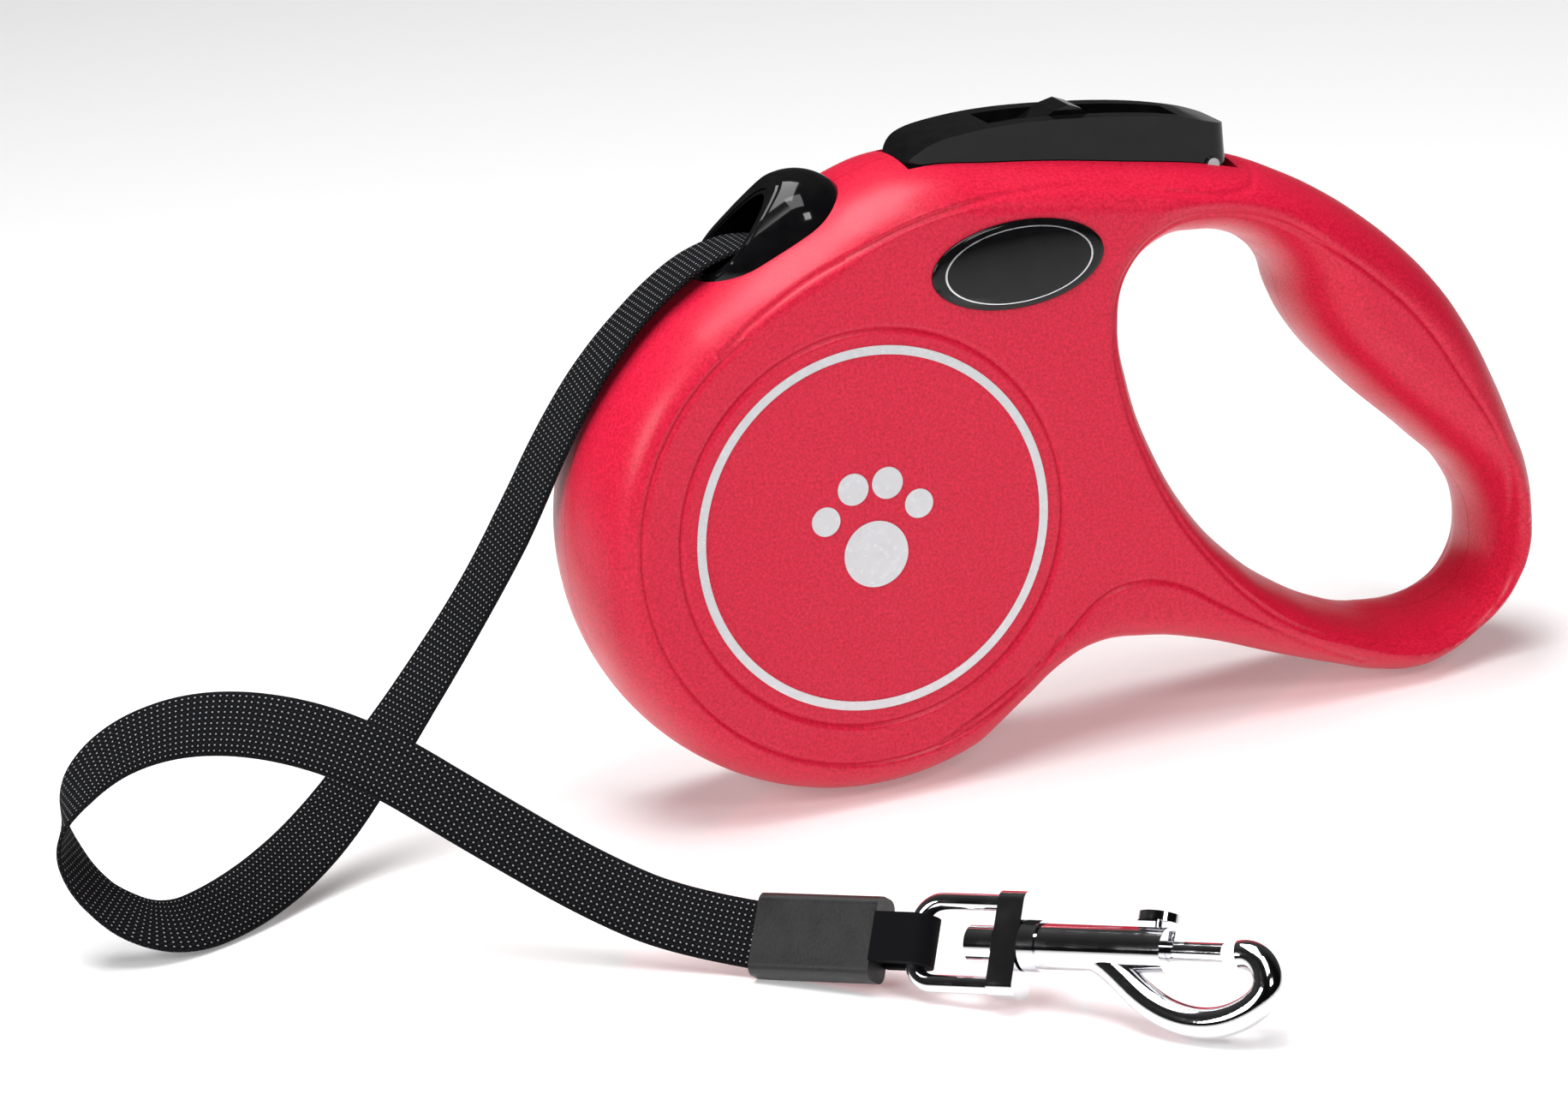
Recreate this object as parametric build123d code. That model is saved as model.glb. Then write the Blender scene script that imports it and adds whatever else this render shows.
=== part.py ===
from build123d import *
import math
import os

# Retractable tape leash. Millimetres, +Z up.
# X runs from the reel case (-X) to the grip (+X), Y through the thickness (near side is -Y).
# The origin is at the middle of the case's footprint, on the surface that it stands on.

# ---- driving dimensions -------------------------------------------------------------------------
CASE_R = 44.2                 # outer radius of the reel case
HALF_T = 15.7                 # half of the overall thickness
REEL_X = -36.0                # reel axis
REEL_Z = CASE_R
TAPE_W = 10.0                 # woven tape
TAPE_T = 0.8
AXLE_R = 4.0
RUN_FIT = 0.05                # radial clearance of a running fit
GAP = 0.3                     # clearance between bodies
BARREL_R = 16.0               # drum's tape barrel
COIL_R = 34.0                 # outside of the wound tape
BUTTON_HALF_W = 6.5
BOLT_TRAVEL = 5.0

# ---- values worked out from them ----------------------------------------------------------------
CAVITY_R = CASE_R - 5.0
CAVITY_HALF = HALF_T - 2.2
RIM_ROUND = 4.4               # radius of the housing's outer rims
HOLE_ROUND = 2.4              # radius round the finger hole
COIL_HALF = TAPE_W / 2
FLANGE_IN = COIL_HALF + 0.6
FLANGE_T = 2.0
FLANGE_OUT = FLANGE_IN + FLANGE_T
TOOTH_TIP_R = CAVITY_R - 1.6
TOOTH_ROOT_R = COIL_R + 1.0
TOOTH_COUNT = 32
TOOTH_W = 2.0
BOSS_FACE = FLANGE_OUT + 1.0   # inner face of the axle bosses
AXLE_HALF = CAVITY_HALF - 1.0
PIN_HALF = 9.0
PAWL_ANGLE = 57.0             # direction of the pawl's tip, seen from the reel axis
BARREL_WALL = 1.2
AXLE_BOSS_R = 8.0
WASHER_R = 7.0
SPRING_INNER_R = AXLE_R + 1.0
SPRING_STEP = 1.0             # growth of the power spring per full turn
SPRING_STRIP = 0.4
NEAR = -1
FAR = 1

DISC_START = 125.0            # case arc, degrees, counter-clockwise from +X
DISC_SWEEP = 167.0

OUTLINE = [                   # grip and top edge, from under the case round to its upper left
    (-10.5, 9.2), (-5.0, 12.9), (0.8, 15.1), (9.7, 14.6), (18.9, 12.3), (33.8, 6.4), (42.3, 3.2),
    (49.0, 0.9), (55.5, 0.0), (60.8, 1.1), (66.2, 3.7), (71.6, 7.2), (75.2, 11.4), (77.8, 17.0),
    (78.5, 23.0), (78.0, 31.2), (76.0, 38.4), (73.5, 45.8), (68.9, 56.3), (64.4, 63.5), (59.4, 69.4),
    (54.2, 74.4), (48.9, 78.7), (42.2, 83.0), (34.0, 87.0), (11.0, 92.4), (-8.0, 95.6),
    (-22.0, 97.0), (-31.0, 95.0), (-42.0, 90.0), (-52.0, 85.6),
]
FINGER_HOLE = [
    (23.8, 77.7), (30.2, 76.2), (35.4, 72.9), (38.9, 68.3), (40.4, 62.8), (43.4, 56.4), (50.3, 47.7),
    (61.4, 36.3), (67.6, 29.1), (70.5, 20.7), (68.7, 12.7), (63.6, 9.1), (54.4, 8.7), (47.6, 10.4),
    (34.3, 18.2), (26.7, 25.1), (19.8, 33.8), (13.8, 45.7), (10.3, 58.0), (9.8, 67.5), (12.2, 74.2),
    (17.6, 77.6),
]
UPPER_LINE = [                # styling line over the badge
    (-57.7, 75.6), (-48.9, 81.3), (-34.5, 87.3), (-20.2, 91.0), (-6.2, 91.4), (7.9, 89.6), (30.5, 84.9),
]
LOWER_LINE = [                # styling line from the case to the foot of the grip
    (-27.8, 8.1), (-17.0, 13.4), (-6.6, 20.4), (1.1, 26.0), (6.9, 26.9), (12.6, 25.5), (22.4, 19.0),
    (36.4, 10.0), (44.9, 5.4),
]
GRIP_ROOM = [                 # hollow inside the outer part of the grip
    (41.5, 76.5), (48.5, 73.0), (56.5, 64.5), (64.0, 54.0), (70.5, 42.0), (74.6, 31.5), (71.5, 31.0),
    (65.0, 40.5), (54.0, 51.5), (45.0, 61.0), (40.5, 69.0),
]
GRIP_ROOM_DEPTH = 10.0
LINE_W = 0.8
LINE_DEPTH = 0.5              # grooves on the flat of a side face
RIM_LINE_DEPTH = 1.4          # lines that run where the face starts to round off
PANEL_R = 37.3                # styling line round the case
DIAL_R = 31.1                 # groove round the decorated dial

SCREWS = [(0.5, 21.0), (9.5, 84.5), (46.5, 66.5), (65.0, 44.5), (23.0, 18.5)]
SCREW_R = 1.25
SCREW_HEAD_R = 2.6
SCREW_HEAD_LOW = 9.5           # seat of the heads, from the middle plane
SCREW_HEAD_T = 1.8
SCREW_REACH = 7.8             # how far the screws run into the near half
SCREW_POST_R = 3.4
DRIVE_SLOT = (3.4, 0.7)

BADGE = (-9.0, 81.0)
BADGE_RX = 14.1
BADGE_RZ = 6.8
BADGE_T = 1.2
BADGE_PROUD = 0.4
RING_R = 27.9
RING_W = 1.4
INLAY_T = 0.7
INLAY_PROUD = 0.15
PAW = [(0.0, -4.0, 5.2), (-7.6, 2.6, 2.3), (-2.8, 6.8, 2.5), (2.8, 6.8, 2.5), (7.6, 2.6, 2.3)]

NOZZLE_C = (-42.5, 86.5)      # centre of the outlet's long round body
NOZZLE_TILT = 28.0
NOZZLE_LONG = 13.6
NOZZLE_SHORT = 9.2
NOZZLE_WALL = 1.6
MOUTH_TILT = 46.0             # the mouth faces -X and this much upward
MOUTH_OFFSET = 6.4
SEAM_TURN = 50.0              # keeps the seam of the body off the middle plane and the sides
LIP_OUT = 0.45                # the mouth's rim band: its outer and inner insets, depth and height
LIP_IN = 1.15
LIP_DEPTH = 1.0
LIP_PROUD = 0.2

BUTTON_PIVOT = (28.0, 88.2)
PIN_R = 1.0
PAWL = (-16.0, 5.6)           # x and y of the pawl
PAWL_STEM_R = 1.5
PAWL_REST_Z = 77.4
PAWL_HEAD_R = 3.2
PAWL_HEAD_Z = 87.1            # underside of the head
PAWL_HEAD_T = 1.5
PAWL_TOP_Z = 92.7
PAWL_BORE_R = PAWL_HEAD_R + GAP
PAWL_SEAT_Z = 81.0
TRACK_Z = 98.2                # floor of the lock's track at its front end
TRACK_X = -7.2
TRACK_END = 24.2
TRACK_SLOPE = -0.1274
TRACK_HALF_W = 3.6

FEED_START = (-20.5, 77.3)    # where the tape leaves the coil
FEED_END = (-44.5, 88.5)
FEED_HALF = 2.4
TAPE_R = math.sqrt(TAPE_W * TAPE_T / math.pi)   # round section of the same area as the tape
SLEEVE_START = (-79.05, -70.75, 5.5)
ROUTE = [                     # tape from the coil, out of the mouth, round its loop to the sleeve
    (-20.5, 0.0, 77.3), (-33.0, 0.0, 83.6), (-45.0, 0.0, 88.4), (-54.3, 0.0, 87.4), (-63.2, 0.0, 82.2),
    (-72.0, 0.0, 74.3), (-78.9, 3.5, 62.8), (-85.0, 7.5, 49.5), (-91.2, 10.0, 38.8), (-98.2, 10.4, 29.8),
    (-110.0, 8.0, 17.8),
    (-124.0, 1.5, 7.4), (-138.5, -8.5, 4.0), (-152.5, -14.5, 3.6), (-162.5, -9.0, 10.5),
    (-165.5, -6.5, 22.0), (-156.5, -8.0, 32.0), (-142.5, -18.0, 37.0), (-126.0, -31.5, 33.5),
    (-109.5, -45.0, 20.5), (-97.5, -53.5, 11.5), (-88.0, -61.5, 6.6), SLEEVE_START,
]

HOOK_EYE = (-63.6, -89.8, 7.4)        # outer end of the swivel bow
HOOK_TIP_DIR = (0.628, -0.774, 0.078)  # along the snap, from the eye to the hook
HOOK_LEAN = 55.0              # degrees that the snap's plane is tilted up from the ground
WIRE_R = 1.3                  # bow wire
BOW_LONG = 16.0
BOW_HALF_W = 6.0
BLOCK_S = 15.0                # swivel block, along the snap
BLOCK_T = 4.2
RIVET_R = 1.7
RIVET_HEAD_R = 2.7
COLLAR_S = BLOCK_S + BLOCK_T + GAP
COLLAR_R = 3.7
SHANK_R = 3.3
SHANK_END = 42.0
BOLT_R = 1.4
BOLT_START = 34.0
BOLT_END = 50.7
BOLT_BORE_START = 22.5
KNOB_S = 39.8
KNOB_R = 3.2
KNOB_STEM_R = 0.8
HOOK_R = 2.2
HOOK_CURVE = [(28.0, 0.6), (33.0, 2.4), (38.0, 6.0), (43.5, 9.0), (49.5, 10.0), (55.0, 8.4), (58.0, 5.0),
              (57.0, 1.8), (53.2, 0.3)]

# ---- helpers -------------------------------------------------------------------------------------


def side(sketch):
    """Stand a sketch drawn in (x, z) up on the middle plane."""
    return Plane.XZ * sketch


def slab(sketch, y_low, y_high):
    """Extrude a sketch drawn in (x, z) from y_low to y_high."""
    return Pos(0, y_high, 0) * extrude(side(sketch), y_high - y_low)


def half_slab(sketch, facing, inner, outer):
    """The same for one half: inner and outer are distances from the middle plane."""
    low, high = sorted((facing * inner, facing * outer))
    return slab(sketch, low, high)


def disc(radius, y_low, y_high, x=REEL_X, z=REEL_Z):
    """Round plate or rod along Y."""
    return slab(Pos(x, z) * Circle(radius), y_low, y_high)


def tube(outer, inner, y_low, y_high, x=REEL_X, z=REEL_Z):
    return disc(outer, y_low, y_high, x, z) - disc(inner, y_low - 1, y_high + 1, x, z)


def closed_curve(points):
    return make_face(Spline(*points, periodic=True))


def outline_face():
    arc = CenterArc((REEL_X, REEL_Z), CASE_R, DISC_START, DISC_SWEEP)
    rest = Spline(arc @ 1, *OUTLINE, arc @ 0, tangents=[arc % 1, arc % 0])
    return make_face(Curve() + [arc, rest])


def outer_edges(body, facing):
    """Edges of the flat side face."""
    return body.edges().group_by(Axis.Y)[0 if facing == NEAR else -1]


def half_body(facing):
    """Solid half of the housing, with its rims rounded."""
    body = half_slab(outline_face(), facing, 0, HALF_T)
    body = fillet(outer_edges(body, facing), RIM_ROUND)
    body -= half_slab(closed_curve(FINGER_HOLE), facing, -1, HALF_T + 1)
    hole_edges = [edge for edge in outer_edges(body, facing) if edge.center().X > 0]
    return fillet(min(hole_edges, key=lambda edge: edge.length), HOLE_ROUND)



BEYOND_MOUTH = Rectangle(4 * NOZZLE_LONG, 4 * NOZZLE_LONG)


def mouth_plane(offset_out):
    tilt = math.radians(MOUTH_TILT)
    normal = Vector(-math.cos(tilt), 0, math.sin(tilt))
    centre = Vector(NOZZLE_C[0], 0, NOZZLE_C[1])
    return Plane(origin=centre + normal * offset_out, x_dir=(0, 1, 0), z_dir=normal)


def egg(inset):
    """Long body of the outlet with round ends, as a solid of revolution about its long axis."""
    radius = NOZZLE_SHORT - inset
    upper = Pos(0, 2 * NOZZLE_SHORT) * Rectangle(4 * NOZZLE_LONG, 4 * NOZZLE_SHORT)
    body = revolve(SlotOverall(2 * (NOZZLE_LONG - inset), 2 * radius) & upper, Axis.X)
    return Pos(NOZZLE_C[0], 0, NOZZLE_C[1]) * Rot(0, -NOZZLE_TILT, 0) * Rot(SEAM_TURN, 0, 0) * body


def feed_slot():
    start = Vector(*FEED_START)
    end = Vector(*FEED_END)
    along = (end - start).normalized()
    across = Vector(-along.Y, along.X) * FEED_HALF
    start = start - along * 4
    points = [start + across, start - across, end - across, end + across]
    corners = [(p.X, p.Y) for p in points]
    return slab(make_face(Polyline(*corners, close=True)), -COIL_HALF - 0.8, COIL_HALF + 0.8)


def line_band(points):
    return trace(Spline(*points), LINE_W)


def grooves(facing):
    """Styling lines cut into one side face."""
    case = Circle(PANEL_R + LINE_W / 2) - Circle(PANEL_R - LINE_W / 2)
    case -= Pos(PANEL_R, 0) * Rectangle(PANEL_R * 2 - 18, PANEL_R * 1.7)
    case -= Pos(8, PANEL_R) * Rectangle(PANEL_R * 1.4, PANEL_R)
    dial = Circle(DIAL_R + LINE_W / 2) - Circle(DIAL_R - LINE_W / 2)
    rims = [line_band(UPPER_LINE), line_band(LOWER_LINE)]
    flats = [Pos(REEL_X, REEL_Z) * case, Pos(REEL_X, REEL_Z) * dial]
    cuts = [half_slab(band, facing, HALF_T - LINE_DEPTH, HALF_T + 1) for band in flats]
    cuts += [half_slab(band, facing, HALF_T - RIM_LINE_DEPTH, HALF_T + 1) for band in rims]
    return cuts


def well():
    profile = Polyline((-22.3, 89.4), (32.2, 84.9), (32.2, 110), (-22.3, 110), close=True)
    half = BUTTON_HALF_W + 0.4
    return slab(make_face(profile), -half, half)


def grip_pocket(facing):
    """Hollow inside the outer part of the grip, clear of the screw boss."""
    pocket = half_slab(closed_curve(GRIP_ROOM), facing, -1, GRIP_ROOM_DEPTH)
    for x, z in SCREWS:
        pocket -= disc(SCREW_POST_R, -HALF_T, HALF_T, x, z)
    return pocket


def housing_half(facing):
    """Everything that the two housing halves have in common."""
    body = half_body(facing)
    body -= half_slab(Pos(REEL_X, REEL_Z) * Circle(CAVITY_R), facing, -1, CAVITY_HALF)
    body -= egg(0)
    body += half_slab(Pos(REEL_X, REEL_Z) * Circle(AXLE_BOSS_R), facing, BOSS_FACE, CAVITY_HALF + 0.5)
    body -= disc(AXLE_R, -AXLE_HALF, AXLE_HALF)
    body -= grip_pocket(facing)
    body -= well()
    body -= feed_slot()
    body -= disc(PIN_R, -PIN_HALF, PIN_HALF, *BUTTON_PIVOT)
    for cut in [*grooves(facing), badge(facing, 0.05), ring(facing, 0.05), *paw(facing, 0.05)]:
        body -= cut
    return body


def on_face(sketch, facing, thickness, proud):
    """Thin plate let into a side face."""
    outer = facing * (HALF_T + proud)
    inner = facing * (HALF_T + proud - thickness)
    return slab(sketch, min(outer, inner), max(outer, inner))


def badge(facing, clearance=0.0):
    outline = Pos(*BADGE) * Ellipse(BADGE_RX + clearance, BADGE_RZ + clearance)
    return on_face(outline, facing, BADGE_T, BADGE_PROUD)


def ring(facing, clearance=0.0):
    half = RING_W / 2 + clearance
    band = Circle(RING_R + half) - Circle(RING_R - half)
    return on_face(Pos(REEL_X, REEL_Z) * band, facing, INLAY_T, INLAY_PROUD)


def paw(facing, clearance=0.0):
    pads = []
    for x, z, radius in PAW:
        pad = Pos(REEL_X + x, REEL_Z + z) * Circle(radius + clearance)
        pads.append(on_face(pad, facing, INLAY_T, INLAY_PROUD))
    return pads


def pawl_bore():
    x, y = PAWL
    hole = Pos(x, y, PAWL_SEAT_Z) * extrude(Circle(PAWL_BORE_R), 12)
    return hole + Pos(x, y, PAWL_SEAT_Z - 12) * extrude(Circle(PAWL_STEM_R + RUN_FIT), 13)


def shells():
    near = housing_half(NEAR)
    far = housing_half(FAR)
    for x, z in SCREWS:
        near -= disc(SCREW_R, -SCREW_REACH - GAP, 1, x, z)
        far -= disc(SCREW_R + 0.15, -1, HALF_T, x, z)
        far -= disc(SCREW_HEAD_R + 0.2, SCREW_HEAD_LOW, HALF_T + 1, x, z)
    return near, far - pawl_bore()


def screws():
    group = []
    for x, z in SCREWS:
        top = SCREW_HEAD_LOW + SCREW_HEAD_T
        head = disc(SCREW_HEAD_R, SCREW_HEAD_LOW, top, x, z)
        head -= slab(Pos(x, z) * Rectangle(*DRIVE_SLOT), top - DRIVE_SLOT[1], top + 1)
        group.append(head + disc(SCREW_R, -SCREW_REACH, SCREW_HEAD_LOW + 0.1, x, z))
    return Compound(children=group)


def nozzle():
    """Hollow outlet: cut open at its mouth, and at its foot where it meets the reel's cavity."""
    body = egg(0) - egg(NOZZLE_WALL)
    body -= mouth_plane(MOUTH_OFFSET) * extrude(BEYOND_MOUTH, NOZZLE_LONG)
    body -= disc(CAVITY_R, -HALF_T, HALF_T)
    body -= feed_slot()
    body -= lip_space()
    return max(body.solids(), key=lambda solid: solid.volume)


def lip_space():
    return (egg(LIP_OUT) - egg(LIP_IN)) & (mouth_plane(MOUTH_OFFSET - LIP_DEPTH) * extrude(BEYOND_MOUTH, 2))


def outlet_ring():
    return lip_space() - mouth_plane(MOUTH_OFFSET + LIP_PROUD) * extrude(BEYOND_MOUTH, 5)


def button():
    top = Spline((-21.6, 96.6), (-19.0, 98.8), (-14.0, 99.9), (-7.0, 100.2), (6.5, 99.2), (26.4, 95.4),
                 (31.6, 93.6))
    rest = Polyline((31.6, 93.6), (31.6, 86.2), (-19.8, 93.5), (-21.6, 96.6))
    body = slab(make_face(Curve() + [top, rest]), -BUTTON_HALF_W, BUTTON_HALF_W)
    plan = Pos(4.7, 0) * RectangleRounded(53.4, 2 * BUTTON_HALF_W, 3.5)
    body = body & extrude(Pos(0, 0, 80) * plan, 25)
    body -= disc(PIN_R + RUN_FIT, -10, 10, *BUTTON_PIVOT)
    track = Polyline((TRACK_X, TRACK_Z), (TRACK_END, track_z(TRACK_END)), (TRACK_END, 105), (TRACK_X, 105),
                     close=True)
    return body - slab(make_face(track), -TRACK_HALF_W, TRACK_HALF_W)


def track_z(x):
    return TRACK_Z + TRACK_SLOPE * (x - TRACK_X)


def lock_slider():
    heights = [(-1.8, 0.1), (23.7, 0.1), (23.7, 1.0), (13.0, 1.2), (10.4, 2.0), (8.4, 3.6), (6.4, 4.2),
               (4.0, 3.4), (0.5, 1.2), (-1.8, 0.9)]
    outline = [(x, track_z(x) + h) for x, h in heights]
    body = slab(make_face(Polyline(*outline, close=True)), -TRACK_HALF_W + 0.3, TRACK_HALF_W - 0.3)
    return body


def pawl():
    x, y = PAWL
    stem = Pos(x, y, PAWL_REST_Z) * extrude(Circle(PAWL_STEM_R), PAWL_HEAD_Z - PAWL_REST_Z + 0.5)
    head = Pos(x, y, PAWL_HEAD_Z) * extrude(Circle(PAWL_HEAD_R), PAWL_HEAD_T)
    post = Pos(x, y - 1.2, PAWL_HEAD_Z) * extrude(Circle(1.2), PAWL_TOP_Z - PAWL_HEAD_Z)
    return stem + head + post


def coil_spring(radius, wire, length, turns):
    """Compression spring along +Z with its lowest point at the origin."""
    rise = length - 2 * wire
    path = Helix(pitch=rise / turns, height=rise, radius=radius)
    section = Plane(origin=path @ 0, z_dir=path % 0) * Circle(wire)
    return Pos(0, 0, wire) * sweep(section, path=path, is_frenet=True)


def pawl_spring():
    return Pos(*PAWL, PAWL_SEAT_Z) * coil_spring(2.4, 0.3, PAWL_HEAD_Z - PAWL_SEAT_Z, 5)


def toothed_disc():
    """Flange rim with square-shouldered teeth; one gap faces the pawl."""
    pitch = 360 / TOOTH_COUNT
    rim = Circle(TOOTH_ROOT_R)
    tooth = Pos((TOOTH_TIP_R + TOOTH_ROOT_R) / 2 - 0.5, 0) * Rectangle(TOOTH_TIP_R - TOOTH_ROOT_R + 1, TOOTH_W)
    for index in range(TOOTH_COUNT):
        rim += Rot(0, 0, PAWL_ANGLE + (index + 0.5) * pitch) * tooth
    return Pos(REEL_X, REEL_Z) * rim


def reel_drum():
    body = slab(toothed_disc(), FLANGE_IN, FLANGE_OUT)
    body += tube(BARREL_R, BARREL_R - BARREL_WALL, -FLANGE_OUT, FLANGE_IN + BARREL_WALL / 2)
    body += tube(TOOTH_ROOT_R, BARREL_R - BARREL_WALL / 2, -FLANGE_OUT, -FLANGE_IN)
    return body - disc(AXLE_R + RUN_FIT, -FLANGE_OUT - 1, FLANGE_OUT + 1)


def power_spring():
    """Flat spiral of half circles that join end to end, each one step wider than the last."""
    half_turns = int((BARREL_R - BARREL_WALL - GAP - SPRING_INNER_R) / (SPRING_STEP / 2))
    spiral = Sketch()
    for count in range(half_turns):
        radius = SPRING_INNER_R + count * SPRING_STEP / 2
        shift = 0 if count % 2 == 0 else SPRING_STEP / 2
        start = 0 if count % 2 == 0 else 180
        outer = CenterArc((shift, 0), radius + SPRING_STRIP / 2, start, 180)
        inner = CenterArc((shift, 0), radius - SPRING_STRIP / 2, start, 180)
        spiral += make_face(Curve() + [outer, Line(outer @ 1, inner @ 1), inner, Line(inner @ 0, outer @ 0)])
    return slab(Pos(REEL_X, REEL_Z) * spiral, -FLANGE_IN + GAP, FLANGE_IN - GAP)


def spring_cover():
    return tube(BARREL_R - BARREL_WALL - RUN_FIT, AXLE_R + RUN_FIT, -FLANGE_OUT, -FLANGE_IN)


def reel_washers():
    group = []
    for facing in (NEAR, FAR):
        low, high = sorted((facing * (FLANGE_OUT + 0.15), facing * (BOSS_FACE - 0.1)))
        group.append(tube(WASHER_R, AXLE_R + RUN_FIT, low, high))
    return Compound(children=group)


def tape_tube():
    """Free tape as a plain round cord of the tape's own section area, on runs joined by arcs."""
    points = [Vector(*p) for p in ROUTE]
    radii = []
    for before, here, after in zip(points, points[1:], points[2:]):
        turn = (here - before).get_angle(after - here)
        run = min((here - before).length, (after - here).length)
        radii.append(0.45 * run / math.tan(math.radians(turn / 2)))
    path = FilletPolyline(*points, radius=radii)
    section = Plane(origin=path @ 0, z_dir=path % 0) * Circle(TAPE_R)
    solid = sweep(section, path=path)
    print("tape radii", [round(r, 1) for r in radii])
    print("tape length", round(path.length, 1), "volume ratio",
          round(solid.volume / (path.length * math.pi * TAPE_R ** 2), 4))
    return solid


# ---- the snap, drawn along its own axis: s along the snap (X), t across it (Y), thickness (Z) ----


def snap_plane():
    along = Vector(*HOOK_TIP_DIR).normalized()
    level = Vector(along.Y, -along.X, 0).normalized()
    lean = math.radians(HOOK_LEAN)
    across = level * math.cos(lean) - Vector(0, 0, 1) * math.sin(lean)
    across = (across - along * across.dot(along)).normalized()
    return Plane(origin=HOOK_EYE, x_dir=along, z_dir=along.cross(across))


def along_snap(sketch, start, end):
    """Extrude a sketch drawn across the snap from start to end along it."""
    return Plane.YZ.offset(start) * extrude(sketch, end - start)


def rod(radius, start, end):
    return along_snap(Circle(radius), start, end)


def swivel_eye():
    corner = 3.6
    left = WIRE_R
    right = BLOCK_S + 1
    path = FilletPolyline((right, -BOW_HALF_W, 0), (left, -BOW_HALF_W, 0), (left, BOW_HALF_W, 0),
                          (right, BOW_HALF_W, 0), radius=corner)
    bow = sweep(Plane(origin=path @ 0, z_dir=path % 0) * Circle(WIRE_R), path=path)
    block = along_snap(RectangleRounded(2 * (BOW_HALF_W + WIRE_R) + 0.6, 5.4, 1.6), BLOCK_S, BLOCK_S + BLOCK_T)
    return bow + block - rod(RIVET_R + RUN_FIT, BLOCK_S - 1, BLOCK_S + BLOCK_T + 1)


def swivel_rivet():
    head = rod(RIVET_HEAD_R, BLOCK_S - 4.6, BLOCK_S - GAP)
    return head + rod(RIVET_R, BLOCK_S - 1, COLLAR_S + 2)


def hook_body():
    body = rod(COLLAR_R, COLLAR_S, COLLAR_S + 2.6) + rod(SHANK_R, COLLAR_S + 2, SHANK_END)
    path = Spline(*[(s, t, 0) for s, t in HOOK_CURVE])
    body += sweep(Plane(origin=path @ 0, z_dir=path % 0) * Circle(HOOK_R), path=path)
    body -= rod(BOLT_R + RUN_FIT, BOLT_BORE_START, BOLT_END + GAP)
    slot_start = KNOB_S - KNOB_STEM_R - BOLT_TRAVEL - 0.3
    slot = Pos((slot_start + SHANK_END) / 2 + 0.5, -4, 0) * Box(SHANK_END - slot_start + 1, 8, 2.0)
    return body - slot - rod(RIVET_R, COLLAR_S - 1, COLLAR_S + 2)


def hook_bolt():
    return rod(BOLT_R, BOLT_START, BOLT_END) - Pos(KNOB_S, -BOLT_R, 0) * Box(1.2, 1.2, 1.2)


def bolt_knob():
    stem = Pos(KNOB_S, -BOLT_R + 0.6, 0) * Rot(90, 0, 0) * extrude(Circle(0.6), SHANK_R - BOLT_R + 1.2)
    cap = Pos(KNOB_S, -SHANK_R - 0.5, 0) * Rot(90, 0, 0) * extrude(Circle(KNOB_R), 1.3)
    return stem + cap


def bolt_spring():
    spring = coil_spring(1.0, 0.2, BOLT_START - BOLT_BORE_START, 9)
    return Pos(BOLT_BORE_START, 0, 0) * Rot(0, 90, 0) * spring


def tape_end_loop():
    """Folded end of the tape: a flat band round the bow wire."""
    inner = WIRE_R + 0.1
    outer = inner + 2 * TAPE_T
    ring_profile = Pos(WIRE_R, 0) * (Circle(outer) - Circle(inner))
    straight = Pos(-1.6, 0) * (Rectangle(6.0, 2 * outer) - Rectangle(6.0, 2 * inner))
    keep = Pos(WIRE_R + 5, 0) * Rectangle(10, 20)
    profile = (ring_profile & keep) + straight
    band = Plane.XZ * profile
    return Pos(0, 3.6, 0) * extrude(band, 7.2)


def tape_sleeve():
    body = Pos(-14.6, 0, 0) * Box(20.0, 12.4, 5.0)
    body = fillet(body.edges().filter_by(Axis.X), 1.6)
    return body


parts = {}
near_shell, far_shell = shells()
parts["near_shell"] = near_shell
parts["far_shell"] = far_shell
parts["outlet_nozzle"] = nozzle()
parts["outlet_ring"] = outlet_ring()
parts["near_badge"] = badge(NEAR)
parts["far_badge"] = badge(FAR)
parts["near_ring"] = ring(NEAR)
parts["far_ring"] = ring(FAR)
parts["near_paw"] = Compound(children=paw(NEAR))
parts["far_paw"] = Compound(children=paw(FAR))
parts["housing_screws"] = screws()
parts["reel_axle"] = disc(AXLE_R, -AXLE_HALF, AXLE_HALF)
parts["reel_washers"] = reel_washers()
parts["reel_drum"] = reel_drum()
parts["spring_cover"] = spring_cover()
parts["power_spring"] = power_spring()
parts["tape_coil"] = tube(COIL_R, BARREL_R + 0.1, -COIL_HALF, COIL_HALF)
parts["brake_button"] = button()
parts["button_pin"] = disc(PIN_R, -PIN_HALF, PIN_HALF, *BUTTON_PIVOT)
parts["lock_slider"] = lock_slider()
parts["brake_pawl"] = pawl()
parts["pawl_spring"] = pawl_spring()
parts["tape"] = tape_tube()

snap = snap_plane()
parts["tape_sleeve"] = snap * tape_sleeve()
parts["tape_end_loop"] = snap * tape_end_loop()
parts["swivel_eye"] = snap * swivel_eye()
parts["swivel_rivet"] = snap * swivel_rivet()
parts["hook_body"] = snap * hook_body()
parts["hook_bolt"] = snap * hook_bolt()
parts["bolt_knob"] = snap * bolt_knob()
parts["bolt_spring"] = snap * bolt_spring()

os.makedirs("parts", exist_ok=True)
for name, solid in parts.items():
    export_step(solid, "parts/" + name + ".step")
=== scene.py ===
import math

import bmesh
import bpy
import numpy as np
from mathutils import Matrix, Vector
from mathutils.geometry import delaunay_2d_cdt
from mathutils.kdtree import KDTree


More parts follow.
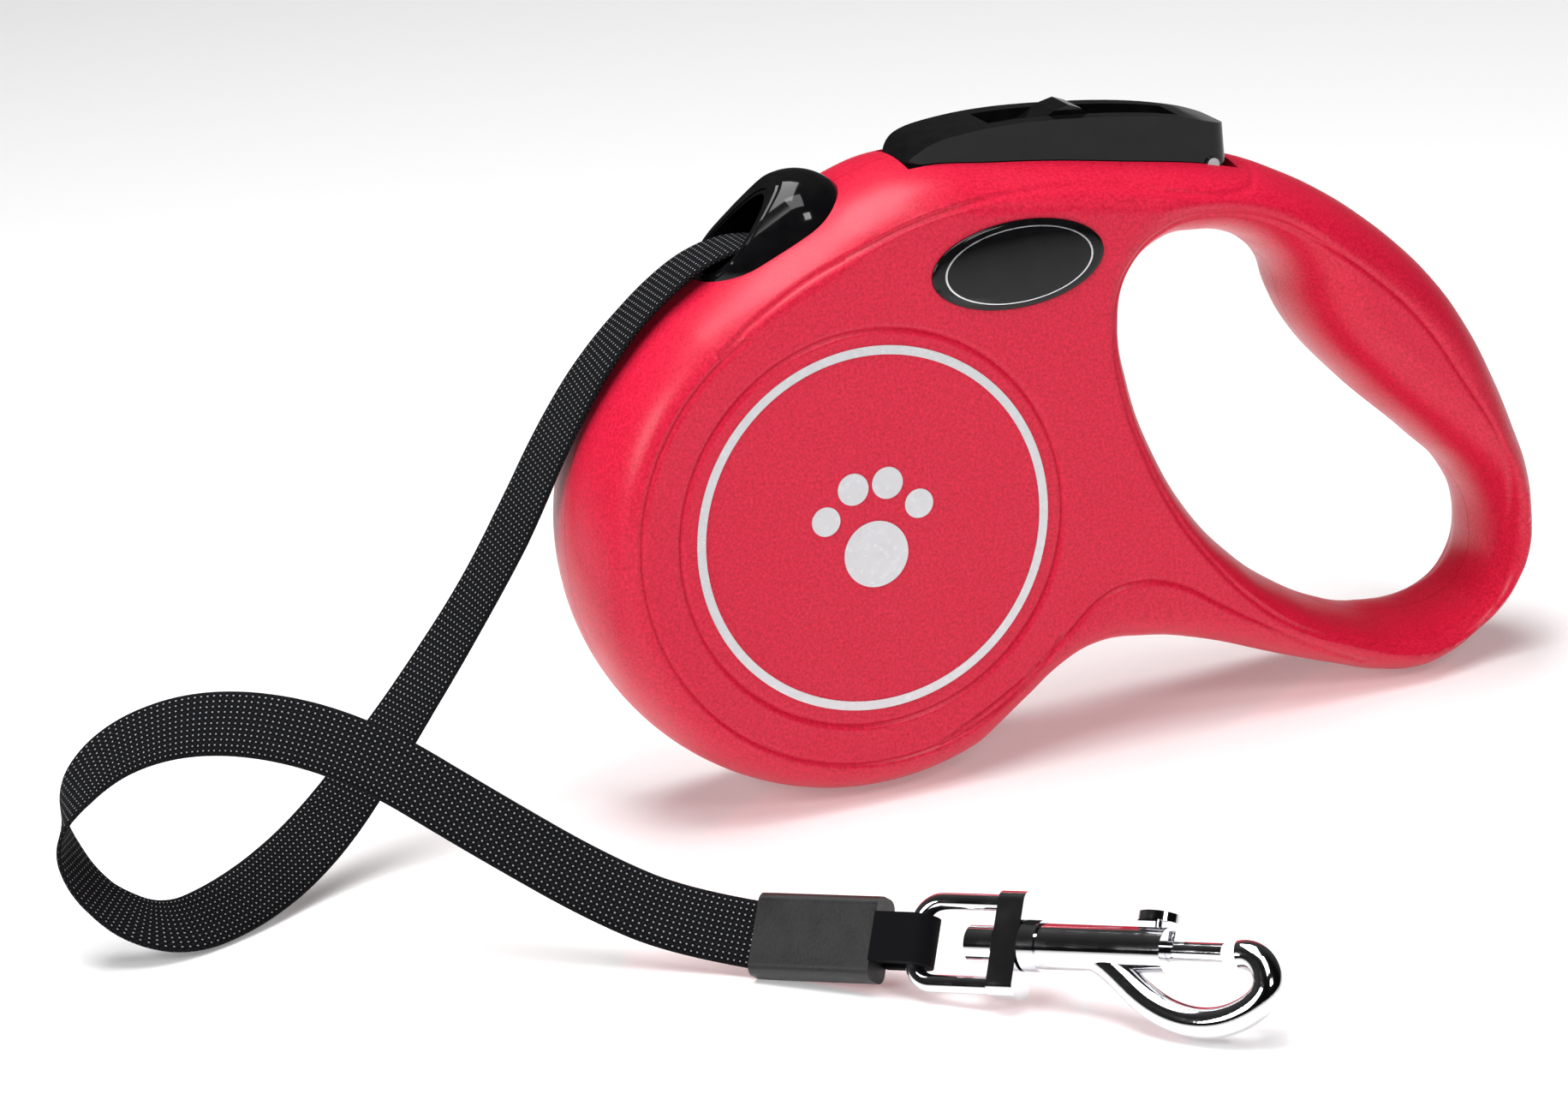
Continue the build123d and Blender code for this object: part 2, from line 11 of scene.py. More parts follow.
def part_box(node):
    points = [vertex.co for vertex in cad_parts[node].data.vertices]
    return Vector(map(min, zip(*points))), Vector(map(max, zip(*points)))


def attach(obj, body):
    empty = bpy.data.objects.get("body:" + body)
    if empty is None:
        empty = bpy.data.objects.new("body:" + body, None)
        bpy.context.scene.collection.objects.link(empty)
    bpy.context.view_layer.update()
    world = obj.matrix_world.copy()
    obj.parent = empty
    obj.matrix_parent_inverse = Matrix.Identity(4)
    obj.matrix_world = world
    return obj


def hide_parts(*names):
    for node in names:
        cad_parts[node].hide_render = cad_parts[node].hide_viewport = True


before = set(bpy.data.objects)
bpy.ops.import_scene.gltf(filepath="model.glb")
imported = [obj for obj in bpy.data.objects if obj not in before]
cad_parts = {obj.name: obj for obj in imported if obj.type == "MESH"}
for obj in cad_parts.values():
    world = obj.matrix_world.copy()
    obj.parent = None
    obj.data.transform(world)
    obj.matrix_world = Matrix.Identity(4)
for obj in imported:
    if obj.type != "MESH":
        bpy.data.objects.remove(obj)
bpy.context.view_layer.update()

MM = 0.001
SHELL_LOW, SHELL_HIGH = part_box("near_shell")
HALF_T = -SHELL_LOW.y

# ---- camera ------------------------------------------------------------------------------------
CAMERA_PLACE = (-0.3775, -0.9460, 0.3573)
CAMERA_TURN = 19.35           # degrees that it looks to the right of +Y
CAMERA_DIP = 17.69            # degrees that it looks down
CAMERA_ROLL = -5.48
CAMERA_LENS = 157.3


def make_camera():
    turn, dip = math.radians(CAMERA_TURN), math.radians(CAMERA_DIP)
    forward = Vector((math.sin(turn) * math.cos(dip), math.cos(turn) * math.cos(dip), -math.sin(dip)))
    right = Vector((math.cos(turn), -math.sin(turn), 0))
    upward = right.cross(forward)
    axes = Matrix((right, upward, -forward)).transposed()
    camera = bpy.data.objects.new("camera", bpy.data.cameras.new("camera"))
    camera.matrix_world = (Matrix.Translation(CAMERA_PLACE) @ axes.to_4x4()
                           @ Matrix.Rotation(math.radians(CAMERA_ROLL), 4, "Z"))
    camera.data.lens = CAMERA_LENS
    camera.data.sensor_width = 36
    camera.data.clip_end = 20
    bpy.context.collection.objects.link(camera)
    bpy.context.scene.camera = camera


make_camera()

# ---- small builders ----------------------------------------------------------------------------


def add_mesh(name, verts, faces, smooth=True):
    mesh = bpy.data.meshes.new(name)
    mesh.from_pydata([tuple(v) for v in verts], [], faces)
    mesh.update()
    for poly in mesh.polygons:
        poly.use_smooth = smooth
    obj = bpy.data.objects.new(name, mesh)
    bpy.context.collection.objects.link(obj)
    return obj


def nurbs_line(name, points):
    """Open NURBS curve on the given control points, in metres."""
    data = bpy.data.curves.new(name, "CURVE")
    data.dimensions = "3D"
    data.resolution_u = 16
    spline = data.splines.new("NURBS")
    spline.points.add(len(points) - 1)
    for slot, point in zip(spline.points, points):
        slot.co = (*point, 1)
    spline.order_u = 3
    spline.use_endpoint_u = True
    return bpy.data.objects.new(name, data)


def line_points(curve):
    """Points along a bare curve, in order."""
    mesh = bpy.data.meshes.new_from_object(curve)
    return [v.co.copy() for v in mesh.vertices]


# ---- shader helpers ----------------------------------------------------------------------------


class Shader:
    """A material with its principled shader and short ways to add nodes."""

    def __init__(self, name, color, roughness, metallic=0.0):
        self.material = bpy.data.materials.new(name)
        self.material.use_nodes = True
        self.tree = self.material.node_tree
        self.main = self.tree.nodes["Principled BSDF"]
        self.main.inputs["Base Color"].default_value = (*color, 1)
        self.main.inputs["Roughness"].default_value = roughness
        self.main.inputs["Metallic"].default_value = metallic

    def node(self, kind, **values):
        made = self.tree.nodes.new(kind)
        for key, value in values.items():
            setattr(made, key, value)
        return made

    def link(self, source, target):
        self.tree.links.new(source, target)

    def place(self):
        return self.node("ShaderNodeTexCoord").outputs["Object"]

    def noise(self, size, detail=3.0, stretch=(1, 1, 1)):
        """Noise with grains of about the given size, in metres."""
        mapping = self.node("ShaderNodeMapping")
        mapping.inputs["Scale"].default_value = stretch
        self.link(self.place(), mapping.inputs["Vector"])
        texture = self.node("ShaderNodeTexNoise")
        texture.inputs["Scale"].default_value = 1 / size
        texture.inputs["Detail"].default_value = detail
        self.link(mapping.outputs[0], texture.inputs["Vector"])
        return texture.outputs["Fac"]

    def ramp(self, source, low, high, start=0.3, end=0.7):
        """Colour between low and high as the source goes from start to end."""
        ramp = self.node("ShaderNodeValToRGB")
        ramp.color_ramp.elements[0].position = start
        ramp.color_ramp.elements[1].position = end
        ramp.color_ramp.elements[0].color = (*low, 1)
        ramp.color_ramp.elements[1].color = (*high, 1)
        self.link(source, ramp.inputs["Fac"])
        return ramp.outputs["Color"]

    def range(self, source, low, high):
        scale = self.node("ShaderNodeMapRange")
        scale.inputs["From Min"].default_value = 0.3
        scale.inputs["From Max"].default_value = 0.7
        scale.inputs["To Min"].default_value = low
        scale.inputs["To Max"].default_value = high
        self.link(source, scale.inputs["Value"])
        return scale.outputs["Result"]

    def bump(self, source, height, strength=1.0, after=None):
        made = self.node("ShaderNodeBump")
        made.inputs["Distance"].default_value = height
        made.inputs["Strength"].default_value = strength
        self.link(source, made.inputs["Height"])
        if after is not None:
            self.link(after, made.inputs["Normal"])
        self.link(made.outputs["Normal"], self.main.inputs["Normal"])
        return made.outputs["Normal"]


def red_plastic():
    s = Shader("red_plastic", (0.62, 0.012, 0.045), 0.34)
    speckle = s.noise(0.00045, 4)
    s.link(s.ramp(speckle, (0.50, 0.006, 0.028), (0.74, 0.016, 0.058)), s.main.inputs["Base Color"])
    s.link(s.range(s.noise(0.012, 2), 0.30, 0.40), s.main.inputs["Roughness"])
    s.bump(speckle, 0.00005, 0.45)
    s.main.inputs["Subsurface Weight"].default_value = 0.05
    s.main.inputs["Subsurface Radius"].default_value = (0.002, 0.0004, 0.0003)
    s.main.inputs["Specular IOR Level"].default_value = 0.3
    return s.material


def black_gloss(name="black_gloss"):
    s = Shader(name, (0.004, 0.004, 0.0045), 0.07)
    s.main.inputs["Specular IOR Level"].default_value = 0.28
    s.link(s.range(s.noise(0.006, 3), 0.05, 0.11), s.main.inputs["Roughness"])
    s.link(s.ramp(s.noise(0.003, 3), (0.003, 0.003, 0.0035), (0.006, 0.006, 0.0065)), s.main.inputs["Base Color"])
    s.bump(s.noise(0.004, 2), 0.00002, 0.25)
    return s.material


def silver_trim():
    s = Shader("silver_trim", (0.62, 0.62, 0.64), 0.3, 0.85)
    s.link(s.range(s.noise(0.001, 3), 0.24, 0.4), s.main.inputs["Roughness"])
    s.bump(s.noise(0.0006, 2), 0.00001, 0.3)
    return s.material


def metal(name, color, low, high, grain=0.004):
    s = Shader(name, color, low, 1.0)
    s.link(s.range(s.noise(grain, 3), low, high), s.main.inputs["Roughness"])
    s.bump(s.noise(grain * 0.6, 3), 0.00002, 0.25)
    return s.material


def moulded(name, color, roughness, grain=0.0005):
    s = Shader(name, color, roughness)
    fine = s.noise(grain, 3)
    dark = tuple(c * 0.75 for c in color)
    light = tuple(min(1, c * 1.4) for c in color)
    s.link(s.ramp(fine, dark, light), s.main.inputs["Base Color"])
    s.link(s.range(s.noise(0.004, 2), roughness - 0.06, roughness + 0.08), s.main.inputs["Roughness"])
    s.bump(fine, 0.00005, 0.5)
    return s.material


def woven(name="woven_tape"):
    """Black webbing: ribs across it, a chevron of warp floats and light flecks between them."""
    s = Shader(name, (0.006, 0.006, 0.007), 0.8)
    s.main.inputs["Specular IOR Level"].default_value = 0.1
    uv = s.node("ShaderNodeUVMap").outputs["UV"]
    split = s.node("ShaderNodeSeparateXYZ")
    s.link(uv, split.inputs[0])

    def math_node(kind, a, b=None):
        made = s.node("ShaderNodeMath", operation=kind)
        for index, value in enumerate((a, b)):
            if value is None:
                continue
            if isinstance(value, (int, float)):
                made.inputs[index].default_value = value
            else:
                s.link(value, made.inputs[index])
        return made.outputs[0]

    along = math_node("MULTIPLY", split.outputs["X"], 2 * math.pi / 0.0019)
    across = math_node("MULTIPLY", split.outputs["Y"], 2 * math.pi / 0.0017)
    thread_a = math_node("SINE", math_node("ADD", along, across))
    thread_b = math_node("SINE", math_node("SUBTRACT", along, across))
    weave = math_node("MULTIPLY", thread_a, thread_b)
    height = math_node("ABSOLUTE", weave)
    fleck = math_node("GREATER_THAN", weave, 0.82)
    mix = s.node("ShaderNodeMix", data_type="RGBA")
    s.link(fleck, mix.inputs["Factor"])
    s.link(s.ramp(height, (0.002, 0.002, 0.003), (0.008, 0.008, 0.009), 0.0, 0.8), mix.inputs["A"])
    mix.inputs["B"].default_value = (0.30, 0.31, 0.33, 1)
    s.link(mix.outputs["Result"], s.main.inputs["Base Color"])
    s.bump(height, 0.00018, 0.9, s.bump(s.noise(0.0003, 2), 0.00005, 0.4))
    return s.material


RED = red_plastic()
BLACK = black_gloss()
BADGE = black_gloss("badge_black")
SILVER = silver_trim()
CHROME = metal("chrome", (0.82, 0.82, 0.84), 0.04, 0.1)
STEEL = metal("steel", (0.5, 0.5, 0.52), 0.22, 0.36, 0.002)
SPRING = metal("spring_steel", (0.32, 0.33, 0.36), 0.25, 0.4, 0.0015)
NYLON = moulded("grey_nylon", (0.2, 0.2, 0.21), 0.5)
SLEEVE = moulded("sleeve_rubber", (0.008, 0.0075, 0.0075), 0.42)
TAPE = woven()

NODE_MATERIALS = {
    "near_shell": RED, "far_shell": RED, "outlet_nozzle": BLACK, "outlet_ring": BLACK,
    "near_badge": BADGE, "far_badge": BADGE, "near_ring": SILVER, "far_ring": SILVER,
    "near_paw": SILVER, "far_paw": SILVER, "housing_screws": STEEL, "reel_axle": STEEL,
    "reel_washers": STEEL, "button_pin": STEEL, "pawl_spring": SPRING, "power_spring": SPRING,
    "bolt_spring": SPRING, "reel_drum": NYLON, "spring_cover": NYLON, "brake_pawl": NYLON,
    "tape_coil": TAPE, "tape_end_loop": TAPE, "tape_sleeve": SLEEVE, "swivel_eye": CHROME,
    "swivel_rivet": CHROME, "hook_body": CHROME, "hook_bolt": CHROME, "bolt_knob": CHROME,
    "brake_button": BLACK, "lock_slider": BLACK,
}


def dress_nodes():
    for node, material in NODE_MATERIALS.items():
        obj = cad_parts[node]
        obj.data.materials.clear()
        obj.data.materials.append(material)


dress_nodes()

# ---- the free tape -----------------------------------------------------------------------------
TAPE_WIDTH = 10 * MM
TAPE_THICK = 0.8 * MM
ROUTE_MM = [                  # the same control points as the CAD tape
    (-20.5, 0.0, 77.3), (-33.0, 0.0, 83.6), (-45.0, 0.0, 88.4), (-54.3, 0.0, 87.4), (-63.2, 0.0, 82.2),
    (-72.0, 0.0, 74.3), (-78.9, 3.5, 62.8), (-85.0, 7.5, 49.5), (-91.2, 10.0, 38.8), (-98.2, 10.4, 29.8),
    (-110.0, 8.0, 17.8), (-124.0, 1.5, 7.4), (-138.5, -8.5, 4.0), (-152.5, -14.5, 3.6),
    (-162.5, -9.0, 10.5), (-165.5, -6.5, 22.0), (-156.5, -8.0, 32.0), (-142.5, -18.0, 37.0),
    (-126.0, -31.5, 33.5), (-109.5, -45.0, 20.5), (-97.5, -53.5, 11.5), (-88.0, -61.5, 6.6),
    (-79.05, -70.75, 5.5),
]
# width direction of the tape at some of the route's points: index, (x, y, z)
TAPE_FACING = [
    (0, (0, 1, 0)), (4, (-0.05, 1, 0)), (7, (-0.25, 0.93, 0.1)), (10, (0.1, 0.75, 0.6)), (12, (0.0, 0.75, 0.65)),
    (14, (0.3, 0.8, 0.3)), (16, (0.3, 0.6, 0.6)), (18, (0.3, 0.45, 0.8)), (22, (0.35, 0.45, 0.82)),
]


def facing_at(share):
    """Width direction at a share of the route, by its control points' numbers."""
    place = share * (len(ROUTE_MM) - 1)
    for (a, low), (b, high) in zip(TAPE_FACING, TAPE_FACING[1:]):
        if place <= b:
            return Vector(low).lerp(Vector(high), (place - a) / (b - a))
    return Vector(TAPE_FACING[-1][1])


def make_tape():
    curve = nurbs_line("tape_route", [tuple(c * MM for c in p) for p in ROUTE_MM])
    line = line_points(curve)
    half_w, half_t = TAPE_WIDTH / 2, TAPE_THICK / 2
    profile = [(-1, 0), (-0.96, 0.8), (-0.6, 1), (0, 1), (0.6, 1), (0.96, 0.8),
               (1, 0), (0.96, -0.8), (0.6, -1), (0, -1), (-0.6, -1), (-0.96, -0.8)]
    verts, uvs, run = [], [], 0.0
    for index, point in enumerate(line):
        tangent = (line[min(index + 1, len(line) - 1)] - line[max(index - 1, 0)]).normalized()
        if index:
            run += (point - line[index - 1]).length
        wide = facing_at(index / (len(line) - 1))
        wide = (wide - tangent * wide.dot(tangent)).normalized()
        thin = tangent.cross(wide)
        for across, out in profile:
            verts.append(point + wide * across * half_w + thin * out * half_t)
            uvs.append((run, across * half_w))
    count = len(profile)
    faces = [(r * count + k, r * count + (k + 1) % count, (r + 1) * count + (k + 1) % count, (r + 1) * count + k)
             for r in range(len(line) - 1) for k in range(count)]
    faces.append(tuple(range(count))[::-1])
    faces.append(tuple(range(len(verts) - count, len(verts))))
    tape = add_mesh("free_tape", verts, faces)
    layer = tape.data.uv_layers.new(name="UVMap")
    for loop in tape.data.loops:
        layer.data[loop.index].uv = uvs[loop.vertex_index]
    tape.data.materials.append(TAPE)
    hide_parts("tape")
    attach(tape, "housing")
    return tape


make_tape()

# ---- housing skin ------------------------------------------------------------------------------
REEL_X, REEL_Z, CASE_R = -36 * MM, 44.2 * MM, 44.2 * MM
OUTER_RIM = 7.0 * MM          # how far in from the outline the sides start to round off
HOLE_RIM = (4.5 * MM, 8.5 * MM)   # the same round the finger hole, at the case and at the grip
OUTLINE_MM = [                # grip and top edge, as in the CAD housing
    (-10.5, 9.2), (-5.0, 12.9), (0.8, 15.1), (9.7, 14.6), (18.9, 12.3), (33.8, 6.4), (42.3, 3.2),
    (49.0, 0.9), (55.5, 0.0), (60.8, 1.1), (66.2, 3.7), (71.6, 7.2), (75.2, 11.4), (77.8, 17.0),
    (78.5, 23.0), (78.0, 31.2), (76.0, 38.4), (73.5, 45.8), (68.9, 56.3), (64.4, 63.5), (59.4, 69.4),
    (54.2, 74.4), (48.9, 78.7), (42.2, 83.0), (34.0, 87.0), (11.0, 92.4), (-8.0, 95.6),
    (-22.0, 97.0), (-31.0, 95.0), (-42.0, 90.0), (-52.0, 85.6),
]
HOLE_MM = [
    (23.8, 77.7), (30.2, 76.2), (35.4, 72.9), (38.9, 68.3), (40.4, 62.8), (43.4, 56.4), (50.3, 47.7),
    (61.4, 36.3), (67.6, 29.1), (70.5, 20.7), (68.7, 12.7), (63.6, 9.1), (54.4, 8.7), (47.6, 10.4),
    (34.3, 18.2), (26.7, 25.1), (19.8, 33.8), (13.8, 45.7), (10.3, 58.0), (9.8, 67.5), (12.2, 74.2),
    (17.6, 77.6),
]
UPPER_LINE_MM = [(-57.7, 75.6), (-48.9, 81.3), (-34.5, 87.3), (-20.2, 91.0), (-6.2, 91.4), (7.9, 89.6),
                 (30.5, 84.9), (34.5, 86.0)]
LOWER_LINE_MM = [(-27.8, 8.1), (-17.0, 13.4), (-6.6, 20.4), (1.1, 26.0), (6.9, 26.9), (12.6, 25.5),
                 (22.4, 19.0), (36.4, 10.0), (44.9, 5.4)]
GRIP_LINE_MM = [
    (6.0, 66.0), (7.3, 73.1), (10.6, 77.9), (15.2, 81.2), (23.0, 82.6), (33.5, 80.0), (42.1, 74.5),
    (50.4, 67.5), (57.4, 59.6), (64.4, 48.0), (69.6, 38.0), (72.2, 29.5), (72.6, 21.0), (70.6, 13.0),
    (65.0, 7.6), (57.0, 5.9), (51.0, 6.6), (43.2, 9.4), (34.6, 13.2), (27.4, 18.5), (18.4, 29.0),
    (13.0, 38.0), (9.0, 48.0), (6.6, 57.0),
]


def smooth_line(points_mm, closed, spacing):
    """Evenly spaced (x, z) points, in metres, along a smooth line through the given ones."""
    data = bpy.data.curves.new("line", "CURVE")
    data.resolution_u = 24
    spline = data.splines.new("BEZIER")
    spline.bezier_points.add(len(points_mm) - 1)
    for slot, (x, z) in zip(spline.bezier_points, points_mm):
        slot.co = (x * MM, z * MM, 0)
        slot.handle_left_type = slot.handle_right_type = "AUTO"
    spline.use_cyclic_u = closed
    raw = [Vector((p.x, p.y)) for p in line_points(bpy.data.objects.new("line", data))]
    return evenly(raw, closed, spacing)


def evenly(raw, closed, spacing):
    if closed:
        raw = raw + [raw[0]]
    runs = [0.0]
    for a, b in zip(raw, raw[1:]):
        runs.append(runs[-1] + (b - a).length)
    count = max(2, round(runs[-1] / spacing))
    made, at = [], 0
    for k in range(count if closed else count + 1):
        want = runs[-1] * k / count
        while at < len(runs) - 2 and runs[at + 1] < want:
            at += 1
        span = runs[at + 1] - runs[at]
        made.append(raw[at].lerp(raw[at + 1], (want - runs[at]) / span if span else 0))
    return made


def case_outline(spacing):
    """Closed outline of the housing: the case's arc, then the grip and the top edge."""
    arc = []
    for k in range(121):
        angle = math.radians(125 + 167 * k / 120)
        arc.append((REEL_X / MM + CASE_R / MM * math.cos(angle), REEL_Z / MM + CASE_R / MM * math.sin(angle)))
    return smooth_line(arc + OUTLINE_MM, True, spacing)


GROOVE_HALF_W = 0.6 * MM
GROOVE_DEPTH = 0.42 * MM
GROOVE_STEPS = (-1.5, -1.0, -0.5, 0.0, 0.5, 1.0, 1.5)   # rows of points beside a groove, in half widths
SEAM = 0.1 * MM               # how far each half stops short of the middle plane
DIAL_RS = (31.1 * MM, 37.3 * MM)
WELL_X = (-22.0 * MM, 32.2 * MM)
WELL_Z = (89.4 * MM, 84.9 * MM)   # floor of the button's recess, front and rear
WELL_HALF = 6.95 * MM
OUTLET_C, OUTLET_TILT = (-42.5 * MM, 86.5 * MM), 28.0
OUTLET_LONG, OUTLET_SHORT = 13.6 * MM, 9.2 * MM


class Boundary:
    """Closed line of (x, z) points that can tell how far away a point is."""

    def __init__(self, points):
        self.points = points
        self.tree = KDTree(len(points))
        for index, p in enumerate(points):
            self.tree.insert((p.x, p.y, 0), index)
        self.tree.balance()

    def distance(self, p):
        _, near, _ = self.tree.find((p.x, p.y, 0))
        count = len(self.points)
        best = 1.0
        for a, b in ((near - 1, near), (near, near + 1)):
            a, b = self.points[a % count], self.points[b % count]
            run = b - a
            along = min(max((p - a).dot(run) / run.length_squared, 0), 1)
            best = min(best, (p - a - run * along).length)
        return best

    def ring(self, inset):
        """The line moved sideways to its left by inset."""
        count = len(self.points)
        made = []
        for k, p in enumerate(self.points):
            along = (self.points[(k + 1) % count] - self.points[k - 1]).normalized()
            made.append(p + Vector((-along.y, along.x)) * inset)
        return made

    def holds(self, points):
        """For each point, whether it lies inside the line."""
        x = np.array([p.x for p in points])
        y = np.array([p.y for p in points])
        inside = np.zeros(len(points), bool)
        for a, b in zip(self.points, self.points[1:] + self.points[:1]):
            if a.y != b.y:
                inside ^= ((a.y > y) != (b.y > y)) & (x < a.x + (y - a.y) * (b.x - a.x) / (b.y - a.y))
        return inside


def hole_rim(p):
    """Width of the rounding round the finger hole: wide on the grip's side of it."""
    share = ((p.x - 38 * MM) * 0.8 + (p.y - 43 * MM) * 0.6) / (14 * MM)
    low, high = HOLE_RIM
    return low + (high - low) * min(max(share / 2 + 0.5, 0), 1)


def rounding(distance, width):
    if distance >= width:
        return 1.0
    return math.sqrt(max(0.0, 1 - ((width - distance) / width) ** 2))


def groove_rows():
    """Rows of (x, z) points along and beside every groove, and the points on the grooves alone."""
    lines = [(smooth_line(UPPER_LINE_MM, False, 0.5 * MM), False),
             (smooth_line(LOWER_LINE_MM, False, 0.5 * MM), False),
             (smooth_line(GRIP_LINE_MM, True, 0.5 * MM), True)]
    lines.append((arc_points(DIAL_RS[0], 0, 360), True))
    lines.append((arc_points(DIAL_RS[1], 118, 322), False))
    rows, centres = [], []
    for points, closed in lines:
        centres += points
        for k, p in enumerate(points):
            after = points[(k + 1) % len(points)] if closed or k + 1 < len(points) else p
            before = points[k - 1] if closed or k else p
            along = (after - before).normalized()
            side = Vector((-along.y, along.x)) * GROOVE_HALF_W
            rows += [p + side * step for step in GROOVE_STEPS]
    return rows, centres


def arc_points(radius, start, end):
    count = round(radius * math.radians(end - start) / (0.5 * MM))
    angles = [math.radians(start + (end - start) * k / count) for k in range(count)]
    return [Vector((REEL_X + radius * math.cos(a), REEL_Z + radius * math.sin(a))) for a in angles]


def skin_points(outer, hole, rows):
    """Points of the side face in (x, z): rings along the rims, a plain grid, and the grooves' rows."""
    taken = KDTree(len(rows))
    for index, p in enumerate(rows):
        taken.insert((p.x, p.y, 0), index)
    taken.balance()
    made = list(rows)

    def free(p):
        return taken.find((p.x, p.y, 0))[2] > GROOVE_HALF_W * 0.6

    for angle in (5, 11, 18, 26, 35, 44, 53, 62, 71, 80, 88):
        share = 1 - math.cos(math.radians(angle))
        made += [p for p in outer.ring(OUTER_RIM * share)
                 if free(p) and outer.distance(p) > OUTER_RIM * share * 0.98 and hole.distance(p) > 1.5 * MM]
        for k, p in enumerate(hole.ring(HOLE_RIM[0] * share)):
            edge = hole.points[k]
            p = edge + (p - edge) * (hole_rim(edge) / HOLE_RIM[0])
            if free(p) and outer.distance(p) > 2.5 * MM:
                made.append(p)
    step = 1.3 * MM
    for i in range(-64, 64):
        for j in range(0, 78):
            p = Vector((i * step, j * step))
            if (outer.distance(p) > OUTER_RIM and hole.distance(p) > hole_rim(p) and free(p)):
                made.append(p)
    return made


def skin_half(name, facing, outer, hole, made, centres, material):
    groove_tree = KDTree(len(centres))
    for index, p in enumerate(centres):
        groove_tree.insert((p.x, p.y, 0), index)
    groove_tree.balance()
    loops = outer.points + hole.points
    held = outer.holds(made) & ~hole.holds(made)
    made = [p for p, ok in zip(made, held)
            if ok and min(outer.distance(p), hole.distance(p)) > 0.02 * MM]
    count_o, count_h = len(outer.points), len(hole.points)
    edges = [(k, (k + 1) % count_o) for k in range(count_o)]
    edges += [(count_o + k, count_o + (k + 1) % count_h) for k in range(count_h)]
    scale = 1 / MM                # the triangulation works in millimetres
    verts, _, faces, _, _, _ = delaunay_2d_cdt([p * scale for p in loops + made], edges, [], 0, 0.001)
    verts = [Vector(v) / scale for v in verts]
    middles = [(verts[f[0]] + verts[f[1]] + verts[f[2]]) / 3 for f in faces]
    held = outer.holds(middles) & ~hole.holds(middles)
    keep = [tuple(face) for face, ok in zip(faces, held) if ok]
    shaped = []
    for p in verts:
        round_o = rounding(outer.distance(p), OUTER_RIM)
        round_h = rounding(hole.distance(p), hole_rim(p))
        height = 1 - ((1 - round_o) ** 3 + (1 - round_h) ** 3) ** (1 / 3)
        near = groove_tree.find((p.x, p.y, 0))[2] / GROOVE_HALF_W
        dip = GROOVE_DEPTH * max(0, 1 - near ** 2) ** 2 if near < 1 else 0
        shaped.append((p.x, facing * max(SEAM, (HALF_T - 0.02 * MM) * height - dip), p.y))
    count = len(verts)
    back = [(p.x, facing * SEAM * 0.5, p.y) for p in verts]
    on_edge = {}
    for face in keep:
        for a, b in zip(face, face[1:] + face[:1]):
            on_edge[(a, b)] = face
    walls = [(a, b, b + count, a + count) for (a, b) in on_edge if (b, a) not in on_edge]
    faces = keep + [tuple(v + count for v in face[::-1]) for face in keep] + [w[::-1] for w in walls]
    obj = add_mesh(name, shaped + back, faces)
    fixer = bmesh.new()
    fixer.from_mesh(obj.data)
    bmesh.ops.recalc_face_normals(fixer, faces=fixer.faces)
    fixer.to_mesh(obj.data)
    fixer.free()
    obj.data.materials.append(material)
    return obj


def well_cutter():
    """Solid of the button's recess."""
    x0, x1 = WELL_X
    corners = [(x0, WELL_Z[0]), (x1, WELL_Z[1]), (x1, 0.12), (x0, 0.12)]
    verts = [(x, y, z) for y in (-WELL_HALF, WELL_HALF) for x, z in corners]
    faces = [(0, 1, 2, 3), (7, 6, 5, 4), (0, 4, 5, 1), (1, 5, 6, 2), (2, 6, 7, 3), (3, 7, 4, 0)]
    return add_mesh("well_cutter", verts, faces, smooth=False)


def outlet_cutter():
    """Solid of the outlet's seat: a ball drawn out along its long axis."""
    cutter = bmesh.new()
    bmesh.ops.create_uvsphere(cutter, u_segments=64, v_segments=32, radius=OUTLET_SHORT)
    for vert in cutter.verts:
        if abs(vert.co.x) > 1e-6:
            vert.co.x += math.copysign(OUTLET_LONG - OUTLET_SHORT, vert.co.x)
    mesh = bpy.data.meshes.new("outlet_cutter")
    tilt = Matrix.Rotation(-math.radians(OUTLET_TILT), 4, "Y")
    cutter.transform(Matrix.Translation((OUTLET_C[0], 0, OUTLET_C[1])) @ tilt)
    cutter.to_mesh(mesh)
    cutter.free()
    obj = bpy.data.objects.new("outlet_cutter", mesh)
    bpy.context.collection.objects.link(obj)
    return obj


SCREWS_MM = [(0.5, 21.0), (9.5, 84.5), (46.5, 66.5), (65.0, 44.5), (23.0, 18.5)]


def sink_cutter():
    """Solid of the screws' sinks in the far half."""
    cutter = bmesh.new()
    for x, z in SCREWS_MM:
        place = Matrix.Translation((x * MM, 14.5 * MM, z * MM)) @ Matrix.Rotation(math.pi / 2, 4, "X")
        bmesh.ops.create_cone(cutter, cap_ends=True, segments=40, radius1=2.8 * MM, radius2=2.8 * MM,
                              depth=10 * MM, matrix=place)
    mesh = bpy.data.meshes.new("sink_cutter")
    cutter.to_mesh(mesh)
    cutter.free()
    obj = bpy.data.objects.new("sink_cutter", mesh)
    bpy.context.collection.objects.link(obj)
    return obj


def cut(obj, cutters):
    """Applies boolean differences and keeps smooth shading with sharp cut edges."""
    for cutter in cutters:
        tool = obj.modifiers.new(cutter.name, "BOOLEAN")
        tool.operation = "DIFFERENCE"
        tool.solver = "EXACT"
        tool.object = cutter
    done = bpy.data.meshes.new_from_object(obj.evaluated_get(bpy.context.evaluated_depsgraph_get()))
    obj.modifiers.clear()
    obj.data = done
    done.set_sharp_from_angle(angle=math.radians(50))


